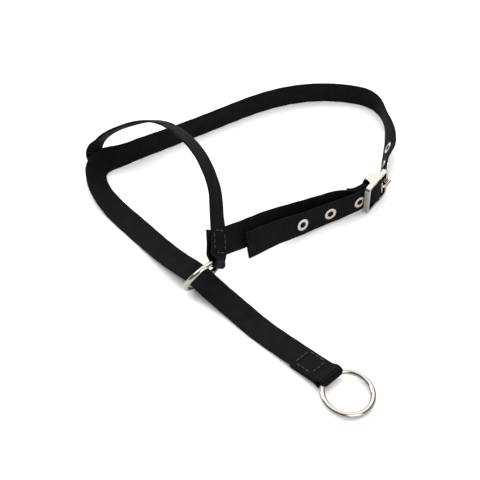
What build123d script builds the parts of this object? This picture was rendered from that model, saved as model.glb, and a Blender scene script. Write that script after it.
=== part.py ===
from build123d import *
import os
from math import asin, cos, radians, sin

# Halter of nylon webbing, lying fastened on a flat surface.
# X runs to the right, Y away from the lead end, Z up; z = 0 is the surface it lies on.
# All lengths are in millimetres and all angles in degrees.

# ---- driving dimensions -------------------------------------------------
STRAP_WIDTH = 20.0
NOSE_WIDTH = 15.0
WEBBING = 1.9             # thickness of one layer of webbing
CLEAR = 0.3               # gap between pieces that move on each other

RING_WIRE = 4.0           # wire diameter of both rings
LEAD_RING_OUTER = 38.0
SLIP_RING_OUTER = 34.0

BUCKLE_LENGTH = 30.0
BUCKLE_HEIGHT = 25.0
BUCKLE_DEPTH = 3.4
BUCKLE_END_BAR = 3.0
BUCKLE_SIDE_BAR = 2.1
LUG_DEPTH = 8.3           # the lugs that hold the centre bar, from the frame's middle
LUG_FOOT = 8.0            # half of a lug's width at the frame
LUG_TIP = 3.4             # half of a lug's width at the centre bar
CENTRE_BAR = 3.0
TONGUE_WIRE = 2.4

EYELET_OUTER = 9.5
EYELET_HOLE = 5.0
EYELET_PITCH = 25.0
FIRST_EYELET = 51.6       # from the free end of the strap
EYELET_COUNT = 6
TAIL_LENGTH = 83.5        # free tail that swings beyond the buckle
STATION_PITCH = 4.0       # spacing of the cutting planes that a strap is lofted through

THREAD = 0.7
STITCH_LENGTH = 2.6
STITCH_GAP = 1.4

# Middle of the halter's outline, which becomes the origin of the finished parts.
MIDDLE = Vector(1.6, 0.5, -0.2)

# ---- where the buckle stands --------------------------------------------
BUCKLE_CORNER = Vector(95.2, 28.5, 0)      # keeper end, middle of the frame's depth
BUCKLE_HEADING = 55.5
ALONG = Vector(cos(radians(BUCKLE_HEADING)), sin(radians(BUCKLE_HEADING)), 0)
OUTWARD = Vector(ALONG.Y, -ALONG.X, 0)
BAR_ALONG = 14.5          # centre bar, from the keeper end
BAR_OUT = -6.0
BAR_BEND = 2.6            # middle of the webbing that is folded round the bar
TOE_ALONG = BUCKLE_LENGTH - BUCKLE_END_BAR / 2
STRAP_SILL = BUCKLE_SIDE_BAR + CLEAR       # lower edge of the webbing inside the buckle

# ---- where the rings stand ----------------------------------------------
SLIP_RING_CENTRE = Vector(-26.3, -50.6, 15.9)
SLIP_RING_SIDE = Vector(0.744, 0.668, 0)
SLIP_RING_UP = Vector(0.262, -0.291, 0.920)


def buckle_point(along, out, height=0.0):
    return BUCKLE_CORNER + ALONG * along + OUTWARD * out + Vector(0, 0, height)


def buckle_station(along, out, lean=0.0):
    point = buckle_point(along, out, STRAP_SILL)
    return (point.X, point.Y, point.Z, lean)


# ---- routes ---------------------------------------------------------------
# Each station is x, y, z of the webbing's lower (inner) edge and the lean of its
# width from upright, positive when the upper edge leans away from the loop.
LEAD_ROUTE = [
    (61, -122.3, 5.6, 90), (50, -111, 3.6, 90), (37, -97.5, 1.4, 90),
    (20.6, -81.3, 0.4, 90), (4.3, -64.6, 2.2, 90),
]
CHIN_ROUTE = [
    (-14, -48.3, 7.5, 90), (-24.5, -37.8, 9.9, 90), (-35.3, -26.7, 8.2, 90),
    (-47.7, -11.1, 4, 90), (-62, 8, 0.6, 90), (-74, 22.5, 0, 90), (-85, 35, 0, 86),
    (-93, 45, 0, 78), (-99.5, 54.5, 0, 67), (-103.8, 64, 0, 55), (-105, 71, 0, 44),
]
CROWN_ROUTE = [
    (-102, 76.3, 0, 32), (-95, 81, 0, 16), (-82, 90, 0, 7), (-66, 100, 0, 4),
    (-46, 112.5, 0, 1), (-15, 132, 0, 0), (15, 150, 0, 0), (45, 162, 0, -2),
    (70, 165.5, 0, -4), (92, 163, 0, -4), (108.5, 156, 0, -4), (117, 143.5, 0, -5),
    (119.5, 128, 0, -3), (118, 113, 0, 13), (115.2, 97, 0, 24), (112.8, 84, 0.6, 22),
    (111.8, 73.5, 1.4, 12), (111.5, 63.5, 2.1, 4),
]
HUMP_ROUTE = [
    buckle_station(31.5, -3.6), buckle_station(27.5, -3.3), buckle_station(24, -2.0),
    buckle_station(20.5, 0.4), buckle_station(17, 1.8), buckle_station(13, 1.2),
    buckle_station(8.5, -1.3), buckle_station(4.5, -3.3), buckle_station(0.5, -3.95),
    buckle_station(-4, -5.5), (82, 25.2, 1.4, -1),
]
TAIL_ROUTE = [
    (70, 19.2, 0.4, -3), (58.8, 12.7, 0.4, -5), (45, 2.9, 1.5, -9),
    (31.3, -7, 4, -14), (17.7, -19, 7, -20), (7, -29.5, 10, -25),
]
BUCKLE_STRAP_ROUTE = [
    buckle_station(BAR_ALONG, BAR_OUT + BAR_BEND), buckle_station(8.5, -4.4),
    buckle_station(3, -6.1), buckle_station(-3, -8.7), (79, 29.4, 2.0, -6),
    (65, 25, 1.5, -9), (52, 18.5, 1.5, -12), (38, 9, 3.5, -17), (22, -4, 7.5, -25),
    (7, -20.4, 13.7, -35), (-8.6, -37, 22, -35), (-18, -47, 27, -35),
]
# The nose strap's stations are x, y, z of its middle, then the heading and the rise
# of its width.
NOSE_ROUTE = [
    (-15.4, -29.9, 41.0, 213.5, 34.7), (-16.4, -21.2, 46.2, 219, 36),
    (-17, -12.4, 52, 222, 36), (-18.7, -2.8, 57.5, 223, 36),
    (-21.8, 6.1, 61.2, 223, 35), (-25.8, 15.8, 64.2, 222, 34),
    (-31, 25.8, 66.1, 221, 33), (-37.9, 36.6, 66.8, 221, 32),
    (-46.3, 48.4, 65.8, 221, 31), (-56.6, 60, 62.8, 222, 30),
    (-67.8, 69.5, 57.2, 223, 29), (-78.4, 76.5, 50, 224, 28),
    (-88.5, 81.9, 42.1, 226, 27), (-98.3, 86.2, 34, 227, 24),
    (-106, 88, 26.8, 225, 17), (-110.8, 87.3, 21.3, 221, 7),
]

# ---- the right cheek, where nose strap and buckle strap are sewn together --
CHEEK = Vector(-16.7, -36.7, 33.3)        # middle of the buckle strap under the nose strap
CHEEK_UP = Vector(-0.032, 0.802, 0.597)
CHEEK_FRONT = Vector(0.731, -0.389, 0.562)
CHEEK_SIDE = Vector(0.682, 0.454, -0.573)
LAYER = WEBBING + 0.05                    # from one layer's middle to the next
LOOP_RADIUS = RING_WIRE / 2 + CLEAR + WEBBING / 2 + 0.1
LEAD_REACH = 7.2          # from the strap's end frame to the lead ring's wire
LEAD_UNDERLAP = 20.0
LOOP_APEX = 4.7           # height of the corners that the loop's bend is rounded from
LOOP_FRONT = 0.3
LOOP_UP = -12.9
LOOP_TURN = -22.5         # the loop's width turns to follow the ring's wire

NOSE_START = 6.0          # the nose strap bends freely from here, above the sewn cheek

# ---- the left cheek, where the nose strap is sewn outside the long strap ---
FAR_TAB = 15.0            # middle of the tab, from where the chin and crown parts meet
FAR_TAB_LENGTH = 16.0
FAR_TAB_LIFT = 2.4        # its middle is above the middle of the strap behind it
SEWN_GAP = 0.25           # slack between webbing layers that are sewn together

# ---- helpers ---------------------------------------------------------------
def frame_at(centre, along, across):
    """Cutting plane of a strap: its X runs across the webbing, its Z along it."""
    across = (across - along * across.dot(along)).normalized()
    return Plane(origin=centre, x_dir=across, z_dir=along)


def directions(points):
    """Direction of travel at each point of a route."""
    last = len(points) - 1
    return [
        (points[min(i + 1, last)] - points[max(i - 1, 0)]).normalized()
        for i in range(last + 1)
    ]


def edge_frames(route, width=STRAP_WIDTH):
    """Cutting planes of a strap that is given by its lower edge and its lean."""
    points = [Vector(x, y, z) for x, y, z, lean in route]
    frames = []
    for point, along, station in zip(points, directions(points), route):
        lean = radians(station[3])
        outward = Vector(-along.Y, along.X, 0).normalized()
        across = Vector(0, 0, cos(lean)) + outward * sin(lean)
        across = (across - along * across.dot(along)).normalized()
        lift = Vector(0, 0, WEBBING / 2 * abs(sin(lean)))
        frames.append(frame_at(point + lift + across * width / 2, along, across))
    return frames


def width_frames(points, acrosses):
    """Cutting planes of a strap that is given by its middle and its width."""
    return [
        frame_at(point, along, across)
        for point, along, across in zip(points, directions(points), acrosses)
    ]


def webbing(frames, width=STRAP_WIDTH):
    """One length of webbing through the given cutting planes."""
    sections = [(frame * Rectangle(width, WEBBING)).face() for frame in frames]
    return loft(sections, ruled=True)


def folded(points, radii, across, width):
    """Webbing with tight bends, given by the middle of its edge and its width."""
    path = FilletPolyline(points, radius=radii)
    section = Plane(origin=path @ 0, x_dir=across, z_dir=path % 0) * Rectangle(width, WEBBING)
    return sweep(section.face(), path)


def ring(centre, normal, outer):
    """A welded ring of round wire."""
    return Plane(origin=centre, z_dir=normal) * Torus((outer - RING_WIRE) / 2, RING_WIRE / 2)


def ring_room(centre, normal, outer):
    """The space that a ring sweeps when it turns in its own plane, with clearance."""
    return Plane(origin=centre, z_dir=normal) * Torus(
        (outer - RING_WIRE) / 2, RING_WIRE / 2 + CLEAR
    )


def bar(start, end, diameter):
    """A round bar between two points."""
    axis = end - start
    return Plane(origin=start, z_dir=axis.normalized()) * Cylinder(
        diameter / 2, axis.length, align=(Align.CENTER, Align.CENTER, Align.MIN)
    )


def reaches(frames):
    """Distance along the strap's middle at which each cutting plane stands."""
    points = [frame.origin for frame in frames]
    runs = [(b - a).length for a, b in zip(points, points[1:])]
    share = Spline(points).length / sum(runs)
    return [share * sum(runs[:i]) for i in range(len(points))]


def frame_along(frames, distance):
    """Cutting plane at a distance along the middle of a strap."""
    middle = Spline([frame.origin for frame in frames])
    point = middle.position_at(distance, position_mode=PositionMode.LENGTH)
    along = middle.tangent_at(distance, position_mode=PositionMode.LENGTH)
    stands = reaches(frames)
    i = max(j for j in range(len(frames) - 1) if stands[j] <= distance or j == 0)
    share = (distance - stands[i]) / (stands[i + 1] - stands[i])
    across = frames[i].x_dir * (1 - share) + frames[i + 1].x_dir * share
    return frame_at(point, along, across)


def stretch(frames, start, end, offset=0.0):
    """Even cutting planes from one distance to another, moved towards the inside."""
    count = round((end - start) / STATION_PITCH)
    cuts = [frame_along(frames, start + (end - start) * i / count) for i in range(count + 1)]
    return [Plane(cut.origin + cut.y_dir * offset, cut.x_dir, cut.z_dir) for cut in cuts]


THREAD_HEIGHT = WEBBING / 2 + THREAD / 2 + 0.1    # a thread's middle, above the webbing's


def beside(frames, distance, across, height):
    """A point at a distance along a strap, across it and towards its inner side."""
    frame = frame_along(frames, distance)
    return frame.origin + frame.x_dir * across + frame.y_dir * height


def stitch_row(point, start, end):
    """A row of short threads; point() gives a place on the face from a length."""
    step = STITCH_LENGTH + STITCH_GAP
    count = int((end - start + STITCH_GAP) // step)
    first = start + (end - start - count * step + STITCH_GAP) / 2
    starts = [first + i * step for i in range(count)]
    return [bar(point(a), point(a + STITCH_LENGTH), THREAD) for a in starts]


def stitched_box(place, width, start, end):
    """Stitching round a box; place(distance, across) gives a point on the face."""
    half = width / 2
    threads = []
    for across in (-half, half):
        threads += stitch_row(lambda d, c=across: place(d, c), start, end)
    for distance in (start - STITCH_GAP, end + STITCH_GAP):
        threads += stitch_row(lambda c, d=distance: place(d, c), -half, half)
    return Compound(threads)


# ---- cutting planes of all the straps --------------------------------------
LONG_STRAP = edge_frames(LEAD_ROUTE + CHIN_ROUTE + CROWN_ROUTE + HUMP_ROUTE + TAIL_ROUTE)
LONG_REACHES = reaches(LONG_STRAP)
LEAD_HINGE = LONG_REACHES[len(LEAD_ROUTE) - 1]
LEFT_CHEEK = LONG_REACHES[len(LEAD_ROUTE + CHIN_ROUTE) - 1]
BUCKLE_TOE = LONG_REACHES[len(LEAD_ROUTE + CHIN_ROUTE + CROWN_ROUTE)]
LONG_END = LONG_REACHES[-1]
TAIL_HINGE = LONG_END - TAIL_LENGTH
BUCKLE_STRAP = edge_frames(BUCKLE_STRAP_ROUTE)
BUCKLE_STRAP_END = reaches(BUCKLE_STRAP)[-1]
EYELETS = [
    frame_along(LONG_STRAP, LONG_END - FIRST_EYELET - i * EYELET_PITCH)
    for i in range(EYELET_COUNT)
]

SLIP_RING_NORMAL = SLIP_RING_SIDE.cross(SLIP_RING_UP)
LEAD_END = frame_along(LONG_STRAP, 0)
LEAD_AWAY = -LEAD_END.z_dir
LEAD_TOP = LEAD_END.y_dir
LEAD_PIVOT = LEAD_END.origin + LEAD_AWAY * LEAD_REACH - LEAD_TOP * ((LAYER + SEWN_GAP) / 2)
LEAD_RING_DROP = asin((LEAD_PIVOT.Z - RING_WIRE / 2) / (LEAD_RING_OUTER - RING_WIRE))
LEVEL_AWAY = Vector(LEAD_AWAY.X, LEAD_AWAY.Y, 0).normalized()
LEAD_RING_WAY = LEVEL_AWAY * cos(LEAD_RING_DROP) - Vector(0, 0, sin(LEAD_RING_DROP))
LEAD_RING_CENTRE = LEAD_PIVOT + LEAD_RING_WAY * (LEAD_RING_OUTER - RING_WIRE) / 2
LEAD_RING_NORMAL = LEAD_END.x_dir.cross(LEAD_RING_WAY)


# ---- webbing ---------------------------------------------------------------
def eyelet_room(frame):
    """Hole and flat seats that an eyelet needs in the webbing."""
    across = Plane(origin=frame.origin, z_dir=frame.y_dir)
    hole = across * Cylinder(EYELET_HOLE / 2 + 0.45, 8)
    seat = Cylinder(EYELET_OUTER / 2 + 0.1, 3)
    inner = across.offset(WEBBING / 2 - 0.1 + 1.5) * seat
    outer = across.offset(-(WEBBING / 2 - 0.1 + 1.5)) * seat
    return hole + inner + outer


def punched(strap, frames):
    for frame in frames:
        strap -= eyelet_room(frame)
    return strap


def tongue_slot():
    """Slot in the folded webbing where the tongue's eye sits on the bar."""
    middle = buckle_point(13.8, BAR_OUT + 0.5, BUCKLE_HEIGHT / 2)
    return Plane(origin=middle, x_dir=ALONG, z_dir=Vector(0, 0, 1)) * Box(11, 9.4, 4.6)


def slip_ring_room():
    return ring_room(SLIP_RING_CENTRE, SLIP_RING_NORMAL, SLIP_RING_OUTER)


def lead_ring_room():
    return ring_room(LEAD_RING_CENTRE, LEAD_RING_NORMAL, LEAD_RING_OUTER)


def cheek_fold():
    """End of the nose strap: down the front, round the slip ring, up behind."""
    layer = LAYER + SEWN_GAP
    outline = [(layer, 15.4, 0), (layer, 0, 0), (layer, -9.4, 0)]
    for step in range(7):
        angle = radians(5 - 31.7 * step)
        front = LOOP_FRONT + LOOP_RADIUS * cos(angle)
        outline.append((front, LOOP_UP + LOOP_RADIUS * sin(angle), 1))
    outline += [(-layer, -9.4, 0), (-layer, 0, 0), (-layer, 9.5, 0)]
    points = [CHEEK + CHEEK_FRONT * front + CHEEK_UP * up for front, up, turn in outline]
    turned = [radians(LOOP_TURN * turn) for front, up, turn in outline]
    acrosses = [CHEEK_SIDE * cos(a) + CHEEK_FRONT * sin(a) for a in turned]
    fold = webbing(width_frames(points, acrosses), NOSE_WIDTH)
    return fold - slip_ring_room()


def nose_strap():
    points = [Vector(x, y, z) for x, y, z, heading, rise in NOSE_ROUTE]
    acrosses = []
    for x, y, z, heading, rise in NOSE_ROUTE:
        flat = cos(radians(rise))
        acrosses.append(
            Vector(flat * cos(radians(heading)), flat * sin(radians(heading)), sin(radians(rise)))
        )
    frames = width_frames(points, acrosses)
    return webbing(stretch(frames, NOSE_START, reaches(frames)[-1]), NOSE_WIDTH)


def far_tab():
    """End of the nose strap, laid on the outside of the long strap."""
    start = LEFT_CHEEK + FAR_TAB - NOSE_WIDTH
    cuts = stretch(LONG_STRAP, start, start + NOSE_WIDTH, -LAYER - SEWN_GAP)
    lifted = [Plane(cut.origin + cut.x_dir * FAR_TAB_LIFT, cut.x_dir, cut.z_dir) for cut in cuts]
    return webbing(lifted, FAR_TAB_LENGTH)


def buckle_strap():
    strap = webbing(stretch(BUCKLE_STRAP, 0, BUCKLE_STRAP_END))
    return strap - tongue_slot() - slip_ring_room()


def buckle_fold():
    """The buckle strap's end, round the centre bar and back behind itself."""
    height = STRAP_SILL + STRAP_WIDTH / 2
    corners = [
        (BAR_ALONG, BAR_OUT + BAR_BEND), (BAR_ALONG + BAR_BEND + 0.1, BAR_OUT + BAR_BEND),
        (BAR_ALONG + BAR_BEND + 0.1, BAR_OUT - BAR_BEND), (BAR_ALONG - 3.0, BAR_OUT - BAR_BEND),
    ]
    points = [buckle_point(along, out, height) for along, out in corners]
    bend = folded(points, [BAR_BEND - 0.1, BAR_BEND - 0.1], Vector(0, 0, 1), STRAP_WIDTH)
    behind = [Plane(origin=points[3], x_dir=Vector(0, 0, 1), z_dir=-ALONG)]
    behind += stretch(BUCKLE_STRAP, 9.5, 24, LAYER + SEWN_GAP + 0.1)
    return bend + webbing(behind) - tongue_slot()


def lead_loop():
    """The lead end of the long strap, round the lead ring and back underneath."""
    layer = LAYER + SEWN_GAP
    tip = LEAD_REACH + LOOP_RADIUS
    corners = [
        (0, 0), (2, 0), (tip, LOOP_APEX), (tip, -layer - LOOP_APEX), (2, -layer),
        (-LEAD_UNDERLAP, -layer - 0.1),
    ]
    points = [LEAD_END.origin + LEAD_AWAY * away + LEAD_TOP * up for away, up in corners]
    radii = [4, LOOP_RADIUS - 0.05, LOOP_RADIUS - 0.05, 4]
    return folded(points, radii, LEAD_END.x_dir, STRAP_WIDTH) - lead_ring_room()


# ---- metal -----------------------------------------------------------------
def buckle_frame():
    face = Plane(origin=BUCKLE_CORNER, x_dir=ALONG, z_dir=OUTWARD)
    middle = face * Pos(BUCKLE_LENGTH / 2, BUCKLE_HEIGHT / 2)
    window = RectangleRounded(
        BUCKLE_LENGTH - 2 * BUCKLE_END_BAR, BUCKLE_HEIGHT - 2 * BUCKLE_SIDE_BAR, 1.5
    )
    outline = RectangleRounded(BUCKLE_LENGTH, BUCKLE_HEIGHT, 4.0) - window
    frame = extrude(middle * outline, BUCKLE_DEPTH / 2, both=True)
    lug = Polyline(
        (BAR_ALONG - LUG_FOOT, 0), (BAR_ALONG + LUG_FOOT, 0),
        (BAR_ALONG + LUG_TIP, LUG_DEPTH), (BAR_ALONG - LUG_TIP, LUG_DEPTH),
        close=True,
    )
    for height in (0, BUCKLE_HEIGHT - BUCKLE_SIDE_BAR):
        side = Plane(origin=buckle_point(0, 0, height), x_dir=ALONG, z_dir=(0, 0, 1))
        frame += extrude(side * make_face(lug), BUCKLE_SIDE_BAR, dir=(0, 0, 1))
    return frame - centre_bar()


def centre_bar():
    return bar(
        buckle_point(BAR_ALONG, BAR_OUT, 0.1), buckle_point(BAR_ALONG, BAR_OUT, BUCKLE_HEIGHT - 0.1),
        CENTRE_BAR,
    )


def tongue():
    """Eye on the centre bar, and an arm through the eyelet onto the toe bar."""
    middle = BUCKLE_HEIGHT / 2
    radius = CENTRE_BAR / 2 + 0.15 + TONGUE_WIRE / 2
    eye = Pos(buckle_point(BAR_ALONG, BAR_OUT, middle)) * Torus(radius, TONGUE_WIRE / 2)
    route = [(BAR_ALONG, BAR_OUT + radius), (18.6, -3.0), (23.0, 3.2), (31.0, 3.2)]
    path = FilletPolyline([buckle_point(a, n, middle) for a, n in route], radius=2.6)
    section = Plane(origin=path @ 0, z_dir=path % 0) * Circle(TONGUE_WIRE / 2)
    return eye + sweep(section, path)


def eyelet(frame):
    """Rolled barrel with its flange on the outer face."""
    across = Plane(origin=frame.origin, z_dir=frame.y_dir)
    wall = Cylinder(EYELET_HOLE / 2 + 0.4, WEBBING + 1.0) - Cylinder(EYELET_HOLE / 2, 8)
    flange = Cylinder(EYELET_OUTER / 2, 0.6) - Cylinder(EYELET_HOLE / 2, 2)
    return across * wall + across.offset(-(WEBBING / 2 + 0.25)) * flange


def washer(frame):
    """Washer that the barrel is rolled over, on the inner face."""
    across = Plane(origin=frame.origin, z_dir=frame.y_dir)
    disc = Cylinder(EYELET_OUTER / 2, 0.6) - Cylinder(EYELET_HOLE / 2 + 0.4, 2)
    return across.offset(WEBBING / 2 + 0.25) * disc


# ---- stitching -------------------------------------------------------------
def cheek_stitches():
    face = CHEEK + CHEEK_FRONT * (LAYER + SEWN_GAP + THREAD_HEIGHT)
    return stitched_box(lambda d, c: face + CHEEK_UP * d + CHEEK_SIDE * c, 10.5, -5.5, 7.5)


def far_stitches():
    height = -LAYER - SEWN_GAP - THREAD_HEIGHT - 0.1
    middle = LEFT_CHEEK + FAR_TAB - NOSE_WIDTH / 2
    return stitched_box(
        lambda d, c: beside(LONG_STRAP, middle + c, FAR_TAB_LIFT + d, height), 10.5, -5, 4.5
    )


def lead_stitches():
    return stitched_box(lambda d, c: beside(LONG_STRAP, d, c, THREAD_HEIGHT), 14.0, 3.5, 16.0)


def buckle_stitches():
    height = LAYER + SEWN_GAP + 0.2 + THREAD_HEIGHT
    return stitched_box(lambda d, c: beside(BUCKLE_STRAP, d, c, height), 14.0, 12.0, 20.0)


# ---- every piece in its own file --------------------------------------------
def parts():
    gap = CLEAR / 2
    lead = stretch(LONG_STRAP, 0, LEAD_HINGE - gap)
    chin = stretch(LONG_STRAP, LEAD_HINGE + gap, LEFT_CHEEK)
    crown = stretch(LONG_STRAP, LEFT_CHEEK, BUCKLE_TOE)
    bend = stretch(LONG_STRAP, BUCKLE_TOE, TAIL_HINGE - gap)
    tail = stretch(LONG_STRAP, TAIL_HINGE + gap, LONG_END)
    groups = {"tail": EYELETS[:2], "buckle": EYELETS[2:4], "crown": EYELETS[4:]}
    yield "crown_strap", punched(webbing(crown), groups["crown"])
    yield "chin_strap", webbing(chin) - slip_ring_room()
    yield "strap_through_buckle", punched(webbing(bend), groups["buckle"])
    yield "strap_tail", punched(webbing(tail), groups["tail"])
    yield "lead_strap", webbing(lead)
    yield "lead_ring_loop", lead_loop()
    yield "nose_strap", nose_strap()
    yield "nose_strap_cheek_fold", cheek_fold()
    yield "nose_strap_far_tab", far_tab()
    yield "buckle_strap", buckle_strap()
    yield "buckle_strap_fold", buckle_fold()
    yield "lead_ring", ring(LEAD_RING_CENTRE, LEAD_RING_NORMAL, LEAD_RING_OUTER)
    yield "slip_ring", ring(SLIP_RING_CENTRE, SLIP_RING_NORMAL, SLIP_RING_OUTER)
    yield "buckle_frame", buckle_frame()
    yield "buckle_centre_bar", centre_bar()
    yield "buckle_tongue", tongue()
    for name, frames in groups.items():
        yield f"{name}_eyelets", Compound([eyelet(frame) for frame in frames])
        yield f"{name}_eyelet_washers", Compound([washer(frame) for frame in frames])
    yield "cheek_stitching", cheek_stitches()
    yield "far_cheek_stitching", far_stitches()
    yield "lead_loop_stitching", lead_stitches()
    yield "buckle_fold_stitching", buckle_stitches()


os.makedirs("parts", exist_ok=True)
for name, shape in parts():
    export_step(Pos(-MIDDLE) * shape, f"parts/{name}.step")
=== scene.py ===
from math import cos, pi, radians, sin

import bmesh
import bpy
import numpy as np
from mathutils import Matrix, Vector


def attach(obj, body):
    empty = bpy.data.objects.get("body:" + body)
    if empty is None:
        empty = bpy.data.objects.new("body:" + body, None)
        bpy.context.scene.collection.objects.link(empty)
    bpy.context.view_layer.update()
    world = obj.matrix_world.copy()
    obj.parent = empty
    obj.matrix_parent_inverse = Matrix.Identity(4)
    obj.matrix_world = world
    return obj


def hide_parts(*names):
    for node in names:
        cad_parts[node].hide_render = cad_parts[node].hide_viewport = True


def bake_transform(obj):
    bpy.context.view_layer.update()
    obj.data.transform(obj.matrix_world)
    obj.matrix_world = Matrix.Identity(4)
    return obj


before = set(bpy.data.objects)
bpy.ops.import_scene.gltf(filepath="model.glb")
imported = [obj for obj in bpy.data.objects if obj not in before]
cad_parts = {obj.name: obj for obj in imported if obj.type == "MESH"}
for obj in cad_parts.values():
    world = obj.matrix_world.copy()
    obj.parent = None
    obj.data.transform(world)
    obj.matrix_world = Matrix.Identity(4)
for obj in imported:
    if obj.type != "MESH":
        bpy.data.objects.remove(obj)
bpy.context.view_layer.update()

# Head halter of black webbing. Routes are in millimetres, as in the CAD part.
MIDDLE = np.array([1.6, 0.5, -0.2])
STRAP_WIDTH = 20.0
NOSE_WIDTH = 15.0
WEBBING = 1.9
RIB_PITCH = 1.75          # ribs that run across the webbing
RIB_HEIGHT = 0.2
RIB_STEPS = 4             # cross-sections for each rib
SELVEDGE_RIB = 0.85       # share of a rib's height that it has on the selvedge
SELVEDGE_DIP = 0.35       # share of a rib's height that it draws the selvedge in
WANDER = 0.07             # unevenness of the selvedge
WARP_PITCH = 0.62         # threads that run along the webbing
FACE_COLUMNS = 9          # points across each flat face
ROUNDING = (55, 20, -20, -55)    # points round a selvedge, in degrees
LAYER = WEBBING + 0.05    # from one sewn layer's middle to the next
SEWN_GAP = 0.25           # slack between sewn layers
LINE_SAMPLES = 1200       # points that a strap's length is measured through
LINE_STEP = 0.3           # run on either side that a strap's direction is read from

# ---- where things stand, in millimetres -----------------------------------
BUCKLE_CORNER = np.array([95.2, 28.5, 0])
BUCKLE_HEADING = radians(55.5)
ALONG = np.array([cos(BUCKLE_HEADING), sin(BUCKLE_HEADING), 0])
OUTWARD = np.array([ALONG[1], -ALONG[0], 0])
BAR_ALONG = 14.5
BAR_OUT = -6.0
BAR_BEND = 2.6
SILL = 2.4
RING_WIRE = 4.0
CHEEK = np.array([-16.7, -36.7, 33.3])
CHEEK_UP = np.array([-0.032, 0.802, 0.597])
CHEEK_FRONT = np.array([0.731, -0.389, 0.562])
CHEEK_SIDE = np.array([0.682, 0.454, -0.573])
LOOP_RADIUS = RING_WIRE / 2 + 0.3 + WEBBING / 2 + 0.1
LOOP_FRONT = 0.3
LOOP_UP = -12.9
LOOP_TURN = radians(-22.5)
LEAD_REACH = 7.2          # from the end of the long strap's line to the lead ring's wire
UNDERLAP = (19.5, 13.0, 6.5)     # stations of the end that lies under the lead
FAR_TAB = 6.5             # middle of the nose strap's left end, past the left cheek
TAB_SLACK = 0.5           # extra gap under that end
TAB_SIDE = np.array([0.80, 0.58, 0.13])    # direction of its width
TAIL_LENGTH = 83.5        # free tail beyond the hinge
LEAD_BEND = 7.0           # half of the run about the lead's hinge, at whose ends points are read
TAIL_BEND = 6.0           # half of the run about the tail's hinge, at whose ends points are read
NOSE_TOP = 8              # station at which the nose strap's two pieces meet
JOIN_TRIM = 3             # cross-sections left out where the ring's turn meets the strap
PARTING = 4.5             # from the lead ring's wire back to where the lead's two layers part
STAND_OFF = (0.45, 0.5)   # how far the upper and the lower layer stand off there
LEAD_TURN = range(-80, 81, 32)     # points round the lead ring's wire, in degrees
CHEEK_TURN = [-185.2 + 31.7 * step for step in range(7)]    # the same round the slip ring's
BAR_TURN = range(80, -100, -32)    # the same round the buckle's centre bar
BAR_MOUTH = 3             # from the centre bar back to where the fold closes
BUCKLE_STATIONS = 26      # places that the buckle strap's path is read at
FOLDED_BACK = (9.5, 13, 18, 24)    # stations of the end that is folded back behind it
END_SLACK = 0.1           # how far a folded end's gap differs from that of sewn layers
TOE = 3.0                 # from the hump's first station to the end of the crown's piece
NOSE_RIGHT_BEND = (3, 24)    # distances from each end at which places on the nose strap are read
NOSE_LEFT_BEND = (2, 24)


def buckle_point(along, out, height=0.0):
    return BUCKLE_CORNER + ALONG * along + OUTWARD * out + np.array([0, 0, height])


def buckle_station(along, out, lean=0.0):
    x, y, z = buckle_point(along, out, SILL)
    return (x, y, z, lean)


LEAD_ROUTE = [
    (61, -122.3, 5.6, 90), (50, -111, 3.6, 90), (37, -97.5, 1.4, 90),
    (20.6, -81.3, 0.4, 90), (4.3, -64.6, 2.2, 90),
]
CHIN_ROUTE = [
    (-14, -48.3, 7.5, 90), (-24.5, -37.8, 9.9, 90), (-35.3, -26.7, 8.2, 90),
    (-47.7, -11.1, 4, 90), (-62, 8, 0.6, 90), (-74, 22.5, 0, 90), (-85, 35, 0, 86),
    (-93, 45, 0, 78), (-99.5, 54.5, 0, 67), (-103.8, 64, 0, 55), (-105, 71, 0, 44),
]
CROWN_ROUTE = [
    (-102, 76.3, 0, 32), (-95, 81, 0, 16), (-82, 90, 0, 7), (-66, 100, 0, 4),
    (-46, 112.5, 0, 1), (-15, 132, 0, 0), (15, 150, 0, 0), (45, 162, 0, -2),
    (70, 165.5, 0, -4), (92, 163, 0, -4), (108.5, 156, 0, -4), (117, 143.5, 0, -5),
    (119.5, 128, 0, -3), (118, 113, 0, 13), (115.2, 97, 0, 24), (112.8, 84, 0.6, 22),
    (111.8, 73.5, 1.4, 12), (111.5, 63.5, 2.1, 4),
]
HUMP_ROUTE = [
    buckle_station(31.5, -3.6), buckle_station(27.5, -3.3), buckle_station(24, -2.0),
    buckle_station(20.5, 0.4), buckle_station(17, 1.8), buckle_station(13, 1.2),
    buckle_station(8.5, -1.3), buckle_station(4.5, -3.3), buckle_station(0.5, -3.95),
    buckle_station(-4, -5.5), (82, 25.2, 1.4, -1),
]
TAIL_ROUTE = [
    (70, 19.2, 0.4, -3), (58.8, 12.7, 0.4, -5), (45, 2.9, 1.5, -9),
    (31.3, -7, 4, -14), (17.7, -19, 7, -20), (7, -29.5, 10, -25),
]
BUCKLE_STRAP_ROUTE = [
    buckle_station(BAR_ALONG, BAR_OUT + BAR_BEND), buckle_station(8.5, -4.4),
    buckle_station(3, -6.1), buckle_station(-3, -8.7), (79, 29.4, 2.0, -6),
    (65, 25, 1.5, -9), (52, 18.5, 1.5, -12), (38, 9, 3.5, -17), (22, -4, 7.5, -25),
    (7, -20.4, 13.7, -35), (-8.6, -37, 22, -35), (-18, -47, 27, -35),
]
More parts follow.
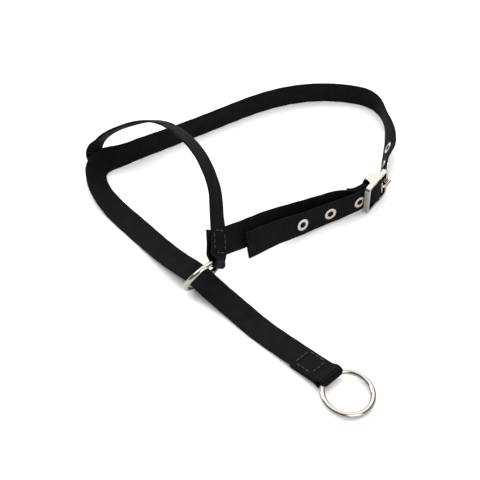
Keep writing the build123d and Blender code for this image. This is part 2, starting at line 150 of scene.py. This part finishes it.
NOSE_ROUTE = [
    (-15.4, -29.9, 41.0, 213.5, 34.7), (-16.4, -21.2, 46.2, 219, 36),
    (-17, -12.4, 52, 222, 36), (-18.7, -2.8, 57.5, 223, 36),
    (-21.8, 6.1, 61.2, 223, 35), (-25.8, 15.8, 64.2, 222, 34),
    (-31, 25.8, 66.1, 221, 33), (-37.9, 36.6, 66.8, 221, 32),
    (-46.3, 48.4, 65.8, 221, 31), (-56.6, 60, 62.8, 222, 30),
    (-67.8, 69.5, 57.2, 223, 29), (-78.4, 76.5, 50, 224, 28),
    (-88.5, 81.9, 42.1, 226, 27), (-98.3, 86.2, 34, 227, 24),
    (-106, 88, 26.8, 225, 17), (-110.8, 87.3, 21.3, 221, 7),
]


# ---- straps as ribbons -----------------------------------------------------
def smooth(points, stands, at):
    """Natural cubic spline through the points, read at other distances."""
    n = len(stands)
    h = np.diff(stands)
    matrix = np.eye(n)
    right = np.zeros((n, points.shape[1]))
    for i in range(1, n - 1):
        matrix[i, i - 1 : i + 2] = h[i - 1], 2 * (h[i - 1] + h[i]), h[i]
        right[i] = 6 * ((points[i + 1] - points[i]) / h[i] - (points[i] - points[i - 1]) / h[i - 1])
    bend = np.linalg.solve(matrix, right)
    k = np.clip(np.searchsorted(stands, at) - 1, 0, n - 2)
    a = ((stands[k + 1] - at) / h[k])[:, None]
    b = ((at - stands[k]) / h[k])[:, None]
    curve = (h[k] ** 2)[:, None] / 6 * ((a ** 3 - a) * bend[k] + (b ** 3 - b) * bend[k + 1])
    return a * points[k] + b * points[k + 1] + curve


def directions(points):
    ahead = np.vstack([points[1:], points[-1:]])
    behind = np.vstack([points[:1], points[:-1]])
    d = ahead - behind
    return d / np.linalg.norm(d, axis=1)[:, None]


def square_to(across, along):
    across = across - along * np.sum(across * along, axis=1)[:, None]
    return across / np.linalg.norm(across, axis=1)[:, None]


def edge_stations(route, width=STRAP_WIDTH):
    """Middles and widths of a strap that is given by its lower edge and its lean."""
    edge = np.array([station[:3] for station in route], float)
    lean = np.radians([station[3] for station in route])
    along = directions(edge)
    outward = np.stack([-along[:, 1], along[:, 0], np.zeros(len(edge))], axis=1)
    outward /= np.linalg.norm(outward, axis=1)[:, None]
    up = np.array([[0, 0, 1.0]])
    across = square_to(up * np.cos(lean)[:, None] + outward * np.sin(lean)[:, None], along)
    lift = up * (WEBBING / 2 * np.abs(np.sin(lean)))[:, None]
    return edge + lift + across * width / 2, across


def nose_stations():
    middle = np.array([station[:3] for station in NOSE_ROUTE], float)
    heading = np.radians([station[3] for station in NOSE_ROUTE])
    rise = np.radians([station[4] for station in NOSE_ROUTE])
    across = np.stack([np.cos(rise) * np.cos(heading), np.cos(rise) * np.sin(heading), np.sin(rise)], 1)
    return middle, square_to(across, directions(middle))


class Ribbon:
    """The middle line of a strap and the direction of its width."""

    def __init__(self, middle, across):
        runs = np.linalg.norm(np.diff(middle, axis=0), axis=1)
        rough = np.concatenate([[0], np.cumsum(runs)])
        fine = np.linspace(0, rough[-1], LINE_SAMPLES)
        line = smooth(middle, rough, fine)
        true = np.concatenate([[0], np.cumsum(np.linalg.norm(np.diff(line, axis=0), axis=1))])
        self.fine, self.true, self.rough = fine, true, rough
        self.middle, self.across = middle, across
        self.length = true[-1]
        self.stands = np.interp(rough, fine, true)

    def at(self, distances):
        """Middle, along, across and inner direction at distances along the strap."""
        d = np.atleast_1d(np.asarray(distances, float))
        u = np.interp(d, self.true, self.fine)
        middle = smooth(self.middle, self.rough, u)
        ahead = smooth(self.middle, self.rough, np.clip(u + LINE_STEP, 0, self.rough[-1]))
        behind = smooth(self.middle, self.rough, np.clip(u - LINE_STEP, 0, self.rough[-1]))
        along = ahead - behind
        along /= np.linalg.norm(along, axis=1)[:, None]
        across = square_to(smooth(self.across, self.rough, u), along)
        return middle, along, across, np.cross(along, across)


LONG = Ribbon(*edge_stations(LEAD_ROUTE + CHIN_ROUTE + CROWN_ROUTE + HUMP_ROUTE + TAIL_ROUTE))
BUCKLE_STRAP = Ribbon(*edge_stations(BUCKLE_STRAP_ROUTE))
NOSE = Ribbon(*nose_stations())
LEAD_HINGE = LONG.stands[len(LEAD_ROUTE) - 1]
LEFT_CHEEK = LONG.stands[len(LEAD_ROUTE + CHIN_ROUTE) - 1]
BUCKLE_TOE = LONG.stands[len(LEAD_ROUTE + CHIN_ROUTE + CROWN_ROUTE)] + TOE
TAIL_HINGE = LONG.length - TAIL_LENGTH


def outline(width):
    """Half-round selvedges and flat faces, as (across, height, selvedge) round the section."""
    half, thick = width / 2, WEBBING / 2
    points = []
    for x in np.linspace(-half + thick, half - thick, FACE_COLUMNS):
        points.append((x, thick, 0.0))
    for angle in ROUNDING:
        a = radians(angle)
        points.append((half - thick + thick * cos(a), thick * sin(a), 1.0))
    for x in np.linspace(half - thick, -half + thick, FACE_COLUMNS):
        points.append((x, -thick, 0.0))
    for angle in reversed(ROUNDING):
        a = radians(angle)
        points.append((-half + thick - thick * cos(a), thick * sin(a), 1.0))
    return np.array(points)


def ribbon_mesh(name, centres, acrosses, inners, distances, width):
    """Webbing with ribs across it, rounded edges, closed ends and a weave attribute."""
    section = outline(width)
    count, sides = len(centres), len(section)
    rib = RIB_HEIGHT * (0.5 + 0.5 * np.cos(2 * pi * distances / RIB_PITCH))
    vertices = np.zeros((count, sides, 3))
    weave = np.zeros((count, sides, 3))
    for j, (x, height, selvedge) in enumerate(section):
        sign = 1 if height > 0 else -1
        drop = rib * (SELVEDGE_RIB if selvedge else 1.0)
        h = height - sign * drop * (abs(height) / (WEBBING / 2))
        edge = x - np.sign(x) * (SELVEDGE_DIP * drop if selvedge else 0)
        edge = edge + WANDER * np.sin(distances * 0.43 + x * 0.2) * selvedge
        vertices[:, j] = centres + acrosses * edge[:, None] + inners * np.asarray(h)[:, None]
        weave[:, j] = np.stack([np.full(count, x), distances, np.full(count, height)], 1)
    places = (vertices.reshape(-1, 3) - MIDDLE) / 1000
    faces = []
    for i in range(count - 1):
        for j in range(sides):
            k = (j + 1) % sides
            faces.append((i * sides + j, i * sides + k, (i + 1) * sides + k, (i + 1) * sides + j))
    faces.append(tuple(range(sides - 1, -1, -1)))
    faces.append(tuple((count - 1) * sides + j for j in range(sides)))
    mesh = bpy.data.meshes.new(name)
    mesh.from_pydata(places.tolist(), [], faces)
    attribute = mesh.attributes.new("weave", "FLOAT_VECTOR", "POINT")
    attribute.data.foreach_set("vector", weave.reshape(-1).astype(np.float32))
    for polygon in mesh.polygons:
        polygon.use_smooth = True
    fix_normals(mesh)
    piece = bpy.data.objects.new(name, mesh)
    bpy.context.scene.collection.objects.link(piece)
    return piece


def fix_normals(mesh):
    work = bmesh.new()
    work.from_mesh(mesh)
    bmesh.ops.recalc_face_normals(work, faces=work.faces)
    work.to_mesh(mesh)
    work.free()


def part_of(ribbon, start, end):
    """Dense middles, widths, inner directions and distances for part of a strap."""
    count = int((end - start) / RIB_PITCH * RIB_STEPS)
    d = np.linspace(start, end, count)
    middle, _, across, inner = ribbon.at(d)
    return middle, across, inner, d


def dense_path(points, acrosses):
    """The same four rows for a whole strap along any smooth path."""
    points = np.array(points, float)
    ribbon = Ribbon(points, square_to(np.array(acrosses, float), directions(points)))
    return part_of(ribbon, 0, ribbon.length)


# ---- materials ---------------------------------------------------------------
def tree(name):
    """A new material with one Principled shader."""
    material = bpy.data.materials.new(name)
    material.use_nodes = True
    nodes, links = material.node_tree.nodes, material.node_tree.links
    nodes.clear()
    out = nodes.new("ShaderNodeOutputMaterial")
    shader = nodes.new("ShaderNodeBsdfPrincipled")
    links.new(shader.outputs["BSDF"], out.inputs["Surface"])
    return material, nodes, links, shader


def noise(nodes, links, source, scale, detail=3.0):
    node = nodes.new("ShaderNodeTexNoise")
    node.inputs["Scale"].default_value = scale
    node.inputs["Detail"].default_value = detail
    links.new(source, node.inputs["Vector"])
    return node.outputs["Fac"]


def ramp(nodes, links, source, low, high, first, second):
    node = nodes.new("ShaderNodeValToRGB")
    node.color_ramp.elements[0].position = low
    node.color_ramp.elements[1].position = high
    node.color_ramp.elements[0].color = (*first, 1)
    node.color_ramp.elements[1].color = (*second, 1)
    links.new(source, node.inputs["Fac"])
    return node.outputs["Color"]


def maths(nodes, links, operation, a, b):
    node = nodes.new("ShaderNodeMath")
    node.operation = operation
    for socket, value in zip(node.inputs, (a, b)):
        if hasattr(value, "links"):
            links.new(value, socket)
        else:
            socket.default_value = value
    return node.outputs[0]


def bumped(nodes, links, shader, height, strength, distance):
    bump = nodes.new("ShaderNodeBump")
    bump.inputs["Strength"].default_value = strength
    bump.inputs["Distance"].default_value = distance
    links.new(height, bump.inputs["Height"])
    links.new(bump.outputs["Normal"], shader.inputs["Normal"])


def webbing_material():
    """Grooves between ribs painted darker as painted shade, fine warp threads and a little fuzz, from the
    weave attribute.
    """
    material, nodes, links, shader = tree("black_webbing")
    weave = nodes.new("ShaderNodeAttribute")
    weave.attribute_name = "weave"
    split = nodes.new("ShaderNodeSeparateXYZ")
    links.new(weave.outputs["Vector"], split.inputs[0])
    across, run = split.outputs[0], split.outputs[1]
    warp = maths(nodes, links, "SINE", maths(nodes, links, "MULTIPLY", across, 2 * pi / WARP_PITCH), 0)
    ribs = maths(nodes, links, "COSINE", maths(nodes, links, "MULTIPLY", run, 2 * pi / RIB_PITCH), 0)
    cross = maths(nodes, links, "MULTIPLY", warp, ribs)
    fuzz = noise(nodes, links, weave.outputs["Vector"], 5.0, 4.0)
    cloud = noise(nodes, links, weave.outputs["Vector"], 0.12, 2.0)
    height = maths(nodes, links, "ADD", maths(nodes, links, "MULTIPLY", cross, 0.35),
                   maths(nodes, links, "ADD", maths(nodes, links, "MULTIPLY", warp, 0.3), fuzz))
    bumped(nodes, links, shader, height, 0.55, 0.00012)
    # painted shade: the colour is darker in the grooves between ribs; fuzz and cloud add random tone
    groove_shade_and_tone = maths(nodes, links, "ADD", maths(nodes, links, "MULTIPLY", ribs, -0.24),
                  maths(nodes, links, "ADD", maths(nodes, links, "MULTIPLY", fuzz, 0.5),
                        maths(nodes, links, "MULTIPLY", cloud, 0.5)))
    colour = ramp(nodes, links, groove_shade_and_tone, 0.3, 0.74, (0.0002, 0.0002, 0.0003), (0.0066, 0.0068, 0.0079))
    links.new(colour, shader.inputs["Base Color"])
    rough = maths(nodes, links, "ADD", maths(nodes, links, "MULTIPLY", fuzz, 0.2), 0.5)
    links.new(rough, shader.inputs["Roughness"])
    shader.inputs["Specular IOR Level"].default_value = 0.04
    return material


def metal_material(name, tint, rough):
    material, nodes, links, shader = tree(name)
    place = nodes.new("ShaderNodeTexCoord").outputs["Object"]
    haze = noise(nodes, links, place, 260.0, 3.0)
    pits = noise(nodes, links, place, 1800.0, 4.0)
    colour = ramp(nodes, links, haze, 0.3, 0.8, tint, tuple(min(c * 1.08, 1) for c in tint))
    links.new(colour, shader.inputs["Base Color"])
    level = maths(nodes, links, "ADD", maths(nodes, links, "MULTIPLY", haze, 0.12), rough)
    links.new(level, shader.inputs["Roughness"])
    shader.inputs["Metallic"].default_value = 1.0
    bumped(nodes, links, shader, pits, 0.12, 0.00005)
    return material


def thread_material():
    material, nodes, links, shader = tree("black_thread")
    place = nodes.new("ShaderNodeTexCoord").outputs["Object"]
    wave = nodes.new("ShaderNodeTexWave")
    wave.inputs["Scale"].default_value = 900.0
    wave.inputs["Distortion"].default_value = 2.0
    links.new(place, wave.inputs["Vector"])
    colour = ramp(nodes, links, wave.outputs["Fac"], 0.1, 0.9, (0.004, 0.004, 0.005), (0.02, 0.02, 0.024))
    links.new(colour, shader.inputs["Base Color"])
    shader.inputs["Roughness"].default_value = 0.5
    bumped(nodes, links, shader, wave.outputs["Fac"], 0.5, 0.0001)
    return material


BLACK = webbing_material()
STEEL = metal_material("plated_steel", (0.30, 0.285, 0.26), 0.08)
EYELET = metal_material("plated_eyelet", (0.44, 0.41, 0.37), 0.16)
THREAD = thread_material()


def strap(name, path, width, nodes):
    """A piece of webbing along a path, which stands for CAD nodes."""
    middle, across, inner, d = path
    piece = ribbon_mesh(name, middle, across, inner, d, width)
    piece.data.materials.append(BLACK)
    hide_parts(*nodes)
    return piece


def placed(point):
    """A place in the frame, in metres, from one in millimetres."""
    return tuple((np.asarray(point) - MIDDLE) / 1000)


def join_paths(*paths):
    return tuple(np.concatenate([path[i] for path in paths]) for i in range(4))


# ---- webbing pieces ----------------------------------------------------------
def lead_end():
    middle, along, across, inner = LONG.at([0.0])
    return middle[0], -along[0], across[0], inner[0]


def lead_and_chin():
    """From under the lead ring, round it, along the lead and the chin to the left cheek."""
    origin, away, across, top = lead_end()
    layer = LAYER + SEWN_GAP
    under = LONG.at(UNDERLAP)
    below = [m - i * (layer - END_SLACK) for m, i in zip(under[0], under[3])]
    upper, lower = STAND_OFF
    turn = [(0, -layer), (LEAD_REACH - PARTING, -layer - lower)]
    for angle in LEAD_TURN:
        a = radians(angle)
        turn.append((LEAD_REACH + LOOP_RADIUS * cos(a), -layer / 2 + LOOP_RADIUS * sin(a)))
    turn += [(LEAD_REACH - PARTING, upper), (0, 0)]
    points = below + [origin + away * x + top * y for x, y in turn]
    loop, widths, _, d = dense_path(points, list(under[2]) + [across] * len(turn))
    keep = slice(0, len(loop) - JOIN_TRIM)
    inner = np.cross(directions(loop[keep]), widths[keep])
    bend = (loop[keep], widths[keep], inner, (d - d[-1])[keep])
    rest = tuple(part[JOIN_TRIM - 1 :] for part in part_of(LONG, 0.0, LEFT_CHEEK))
    nodes = ["lead_strap", "lead_ring_loop", "chin_strap"]
    piece = strap("lead_and_chin_webbing", join_paths(bend, rest), STRAP_WIDTH, nodes)
    middle = LONG.at([LEAD_HINGE + LEAD_BEND, LEAD_HINGE - LEAD_BEND])[0]
    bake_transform(piece)


lead_and_chin()
crown_path = part_of(LONG, LEFT_CHEEK, BUCKLE_TOE)
crown_piece = strap("crown_webbing", crown_path, STRAP_WIDTH, ["crown_strap"])
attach(crown_piece, "halter")
tail_piece = strap(
    "buckle_and_tail_webbing", part_of(LONG, BUCKLE_TOE, LONG.length), STRAP_WIDTH,
    ["strap_through_buckle", "strap_tail"],
)
hinge_points = LONG.at([TAIL_HINGE - TAIL_BEND, TAIL_HINGE + TAIL_BEND])[0]
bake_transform(tail_piece)


def nose_right():
    """Up behind the cheek, round the slip ring, up the front and over to the top of the nose."""
    layer = LAYER + SEWN_GAP
    shape = [(-layer, 9.5, 0), (-layer, 3, 0), (-layer, -4, 0), (-layer, -9.4, 0)]
    for angle in CHEEK_TURN:
        a = radians(angle)
        shape.append((LOOP_FRONT + LOOP_RADIUS * cos(a), LOOP_UP + LOOP_RADIUS * sin(a), 1))
    shape += [(layer, -8.8, 0), (layer, -4, 0), (layer, 3, 0), (layer, 7.5, 0)]
    points, widths = [], []
    for front, up, turn in shape:
        points.append(CHEEK + CHEEK_FRONT * front + CHEEK_UP * up)
        a = LOOP_TURN * turn
        widths.append(CHEEK_SIDE * cos(a) + CHEEK_FRONT * sin(a))
    points += list(NOSE.middle[1 : NOSE_TOP + 1])
    widths += [-w if w @ CHEEK_SIDE < 0 else w for w in NOSE.across[1 : NOSE_TOP + 1]]
    return dense_path(points, widths)


def nose_left():
    """From the top of the nose down to the left cheek and on to the sewn tab."""
    middle, _, across, inner = LONG.at([LEFT_CHEEK + FAR_TAB])
    tab = middle[0] - inner[0] * (LAYER + SEWN_GAP + TAB_SLACK)
    points, widths = [], []
    for m, w in zip(NOSE.middle[NOSE_TOP:], NOSE.across[NOSE_TOP:]):
        points.append(m)
        widths.append(w if w @ CHEEK_SIDE > 0 else -w)
    for up in (8.0, 3.5, -1, -5.5):
        points.append(tab + across[0] * up)
        widths.append(TAB_SIDE)
    return dense_path(points, widths)


def on_nose(distance):
    """A place on the nose strap's middle line, in the frame."""
    return placed(NOSE.at([distance])[0][0])


nose_right_piece = strap(
    "nose_webbing_right", nose_right(), NOSE_WIDTH, ["nose_strap", "nose_strap_cheek_fold"],
)
on_nose(NOSE_RIGHT_BEND[0])
on_nose(NOSE_RIGHT_BEND[1])
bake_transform(nose_right_piece)
nose_left_piece = strap(
    "nose_webbing_left", nose_left(), NOSE_WIDTH, ["nose_strap", "nose_strap_far_tab"],
)
on_nose(NOSE.length - NOSE_LEFT_BEND[0])
on_nose(NOSE.length - NOSE_LEFT_BEND[1])
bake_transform(nose_left_piece)


def buckle_strap_path():
    """From the cheek to the buckle, round the centre bar and back behind itself."""
    d = np.linspace(0, BUCKLE_STRAP.length, BUCKLE_STATIONS)
    middle, _, across, _ = BUCKLE_STRAP.at(d)
    points = list(middle[::-1][:-1])
    widths = list(across[::-1][:-1])
    height = SILL + STRAP_WIDTH / 2
    up = np.array([0, 0, 1.0])
    for angle in BAR_TURN:
        a = radians(angle)
        points.append(buckle_point(BAR_ALONG + BAR_BEND * cos(a), BAR_OUT + BAR_BEND * sin(a), height))
        widths.append(up)
    points.append(buckle_point(BAR_ALONG - BAR_MOUTH, BAR_OUT - BAR_BEND, height))
    widths.append(up)
    behind = BUCKLE_STRAP.at(FOLDED_BACK)
    for m, a, i in zip(behind[0], behind[2], behind[3]):
        points.append(m + i * (LAYER + SEWN_GAP + END_SLACK))
        widths.append(a)
    return dense_path(points, widths)


buckle_strap_piece = strap(
    "buckle_strap_webbing", buckle_strap_path(), STRAP_WIDTH, ["buckle_strap", "buckle_strap_fold"],
)
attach(buckle_strap_piece, "halter")

# ---- CAD metal and thread ------------------------------------------------------
STEEL_NODES = ("lead_ring", "slip_ring", "buckle_frame", "buckle_centre_bar", "buckle_tongue")
FRAME_ROUNDING = 0.0007
EYELET_ROUNDING = 0.00018
for name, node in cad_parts.items():
    if name in STEEL_NODES:
        material = STEEL
    elif "eyelet" in name:
        material = EYELET
    elif "stitching" in name:
        material = THREAD
    else:
        continue
    for place in node.material_slots:
        place.material = material
    if name == "buckle_frame" or "eyelet" in name:
        bevel = node.modifiers.new("rounded edges", "BEVEL")
        bevel.width = FRAME_ROUNDING if name == "buckle_frame" else EYELET_ROUNDING
        bevel.segments = 3
        bevel.limit_method = "ANGLE"
        bevel.angle_limit = radians(40)


# ---- floor, light, camera ------------------------------------------------------
FLOOR_GAP = 0.0002        # keeps the floor just clear of the webbing


def floor():
    """A white table under the halter."""
    work = bmesh.new()
    bmesh.ops.create_grid(work, x_segments=1, y_segments=1, size=3.0)
    mesh = bpy.data.meshes.new("floor")
    work.to_mesh(mesh)
    work.free()
    obj = bpy.data.objects.new("floor", mesh)
    obj.location.z = -FLOOR_GAP
    material, nodes, links, shader = tree("white_table")
    place = nodes.new("ShaderNodeTexCoord").outputs["Object"]
    blotches = noise(nodes, links, place, 4.0)
    colour = ramp(nodes, links, blotches, 0.2, 0.8, (0.86, 0.86, 0.865), (0.88, 0.88, 0.885))
    links.new(colour, shader.inputs["Base Color"])
    shader.inputs["Roughness"].default_value = 0.8
    shader.inputs["Specular IOR Level"].default_value = 0.1
    mesh.materials.append(material)
    bpy.context.scene.collection.objects.link(obj)


def light(name, position, size, power):
    """A square light that faces the halter."""
    data = bpy.data.lights.new(name, "AREA")
    data.shape = "SQUARE"
    data.size = size
    data.energy = power
    obj = bpy.data.objects.new(name, data)
    obj.location = position
    obj.rotation_euler = (-Vector(position)).to_track_quat("-Z", "Y").to_euler()
    bpy.context.scene.collection.objects.link(obj)


floor()
light("sky", (-0.1, 0.75, 1.4), size=3.0, power=78)
light("left", (-1.2, 0.3, 0.9), size=0.6, power=9)
light("front", (0.7, -1.1, 0.8), size=0.9, power=14)
world = bpy.data.worlds.new("studio")
bpy.context.scene.world = world
world.use_nodes = True
background = world.node_tree.nodes["Background"]
background.inputs["Color"].default_value = (1, 1, 1, 1)
background.inputs["Strength"].default_value = 0.32
bpy.context.scene.view_settings.view_transform = "Standard"

CAMERA_REACH = 0.6329     # how far the camera stands off, and as far up
camera_data = bpy.data.cameras.new("camera")
camera_data.sensor_width = 36
camera_data.lens = 90
camera = bpy.data.objects.new("camera", camera_data)
look_at = Vector(placed((0, 0, 0)))
camera.location = look_at + Vector((0, -CAMERA_REACH, CAMERA_REACH))
camera.rotation_euler = (look_at - camera.location).to_track_quat("-Z", "Y").to_euler()
bpy.context.scene.collection.objects.link(camera)
bpy.context.scene.camera = camera
